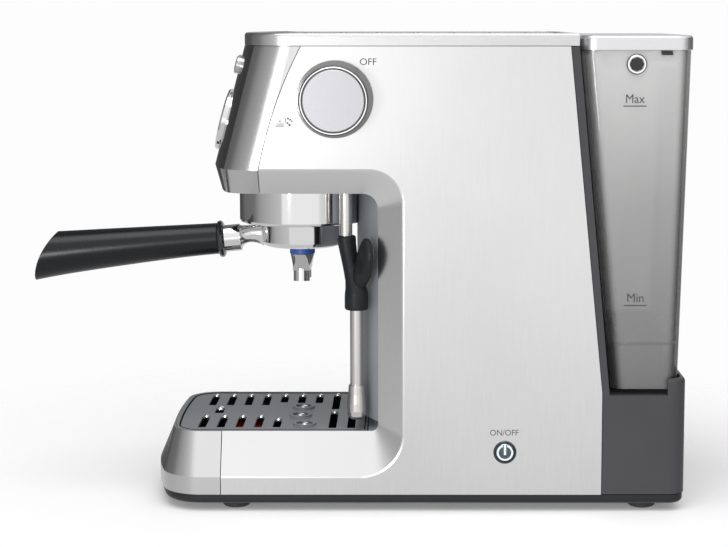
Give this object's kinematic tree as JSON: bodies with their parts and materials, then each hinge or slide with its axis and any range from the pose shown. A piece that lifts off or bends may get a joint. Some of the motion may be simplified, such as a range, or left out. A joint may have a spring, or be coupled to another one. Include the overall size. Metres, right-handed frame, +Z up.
{
  "type": "espresso machine",
  "caption": "Slim pump espresso machine with group head and portafilter, steam wand and side steam knob, slide-out drip tray and lift-out rear water tank.",
  "frame": {"origin": "on the table, in the middle of the whole object's footprint box, handle and knob included", "axes": "+Z up; the portafilter handle points to -Y and the water tank is at +Y; the steam knob and wand are on +X"},
  "size_m": [0.174, 0.437, 0.311],
  "materials": {
    "steel_panel": "brushed",
    "steel_inner": "satin",
    "grid_steel": "satin",
    "chrome": "polished",
    "grey_moulding": "satin",
    "dark_moulding": "satin",
    "panel_black": "gloss",
    "black_plastic": "satin",
    "plinth_plastic": "matte",
    "rubber": "matte",
    "brass": "satin",
    "aluminium": "satin",
    "dial_white": "matte",
    "needle_red": "satin",
    "clear_lens": "clear",
    "pump_steel": "satin",
    "board_green": "satin",
    "silicone_hose": "satin",
    "copper_pipe": "satin",
    "seal_blue": "satin",
    "float_red": "satin",
    "knob_grey": "satin",
    "silver_plastic": "satin",
    "button_grey": "satin",
    "tank_smoke": "clear",
    "wand_rubber": "matte"
  },
  "bodies": {
    "machine": {"chassis": "plinth_plastic", "rubber_feet": "rubber", "housing_screws": "steel_inner", "right_side_panel": "steel_panel", "left_side_panel": "steel_panel", "head_cheek_left": "steel_panel", "head_cheek_right": "steel_panel", "control_panel": "panel_black", "top_cover": "steel_panel", "cup_plate": "grid_steel", "head_underside": "grey_moulding", "splash_panel": "grey_moulding", "rear_housing": "dark_moulding", "cord_gland": "rubber", "group_collar": "chrome", "group_head": "brass", "group_gasket": "rubber", "shower_screen": "steel_inner", "boiler": "aluminium", "boiler_fittings": "steel_inner", "steam_valve": "brass", "wand_socket": "brass", "power_bezel": "panel_black", "power_switch": "black_plastic", "gauge_case": "chrome", "gauge_dial": "dial_white", "gauge_lens": "clear_lens", "pump": "pump_steel", "pump_mounts": "rubber", "solenoid_valve": "black_plastic", "control_board": "board_green", "suction_hose": "silicone_hose", "pressure_hose": "silicone_hose", "steam_pipes": "copper_pipe", "valve_seal": "rubber"},
    "portafilter": {"portafilter_cup": "chrome", "filter_basket": "steel_inner", "spout_seal": "seal_blue", "spout": "chrome", "handle_collar": "panel_black", "handle_grip": "black_plastic"},
    "wand_mount": {"wand_bush": "black_plastic"},
    "steam_wand": {"wand_tube": "chrome", "wand_grip": "wand_rubber", "wand_nozzle": "chrome"},
    "steam_knob": {"steam_knob": "knob_grey", "knob_cap": "silver_plastic"},
    "power_button": {"power_button": "button_grey"},
    "single_cup_button": {"single_cup_button": "button_grey"},
    "double_cup_button": {"double_cup_button": "button_grey"},
    "steam_button": {"steam_button": "button_grey"},
    "gauge_needle": {"gauge_needle": "needle_red"},
    "drip_tray": {"drip_tray": "dark_moulding", "base_front_cover": "steel_panel"},
    "drip_grid": {"drip_grid": "grid_steel"},
    "tray_float": {"tray_float": "float_red"},
    "water_tank": {"water_tank": "tank_smoke", "tank_handle": "silver_plastic", "tank_valve": "black_plastic"},
    "tank_lid": {"tank_lid": "silver_plastic"}
  },
  "joints": [
    {"name": "portafilter_turn", "type": "hinge", "parent": "machine", "child": "portafilter", "pos_m": [-0.012, -0.03625, 0.187], "axis": [0, 0, 1], "range_deg": [-45, 0]},
    {"name": "wand_swivel", "type": "hinge", "parent": "machine", "child": "wand_mount", "pos_m": [0.034, -0.00505, 0.215], "axis": [0, 0, 1], "range_deg": [-80, 0]},
    {"name": "wand_tilt", "type": "hinge", "parent": "wand_mount", "child": "steam_wand", "pos_m": [0.034, -0.00505, 0.215], "axis": [0, -1, 0], "range_deg": [0, 30]},
    {"name": "steam_knob_turn", "type": "hinge", "parent": "machine", "child": "steam_knob", "pos_m": [0.063, -0.01095, 0.2691], "axis": [1, 0, 0], "range_deg": [0, 155]},
    {"name": "power_button_press", "type": "slide", "parent": "machine", "child": "power_button", "axis": [-1, 0, 0], "range_m": [0, 0.002], "stiffness_N_per_m": 600, "springref_m": -0.002},
    {"name": "single_cup_button_press", "type": "slide", "parent": "machine", "child": "single_cup_button", "axis": [0, 0.968, -0.2509], "range_m": [0, 0.0012], "stiffness_N_per_m": 700, "springref_m": -0.0012},
    {"name": "double_cup_button_press", "type": "slide", "parent": "machine", "child": "double_cup_button", "axis": [0, 0.968, -0.2509], "range_m": [0, 0.0012], "stiffness_N_per_m": 700, "springref_m": -0.0012},
    {"name": "steam_button_press", "type": "slide", "parent": "machine", "child": "steam_button", "axis": [0, 0.968, -0.2509], "range_m": [0, 0.0012], "stiffness_N_per_m": 700, "springref_m": -0.0012},
    {"name": "gauge_needle_turn", "type": "hinge", "parent": "machine", "child": "gauge_needle", "pos_m": [-0.012, -0.08676, 0.252], "axis": [0, -0.968, 0.2509], "range_deg": [-270, 0], "stiffness_Nm_per_rad": 0.0008},
    {"name": "drip_tray_slide", "type": "slide", "parent": "machine", "child": "drip_tray", "axis": [0, -1, 0], "range_m": [0, 0.16]},
    {"name": "float_rise", "type": "slide", "parent": "drip_tray", "child": "tray_float", "axis": [0, 0, 1], "range_m": [0, 0.0045]},
    {"name": "grid_lift", "type": "slide", "parent": "drip_tray", "child": "drip_grid", "axis": [0, 0, 1], "range_m": [0, 0.004]},
    {"name": "tank_lift", "type": "slide", "parent": "machine", "child": "water_tank", "axis": [0, 0, 1], "range_m": [0, 0.235]},
    {"name": "tank_lid_open", "type": "hinge", "parent": "water_tank", "child": "tank_lid", "pos_m": [-0.012, 0.21825, 0.30015], "axis": [-1, 0, 0], "range_deg": [0, 95]}
  ]
}
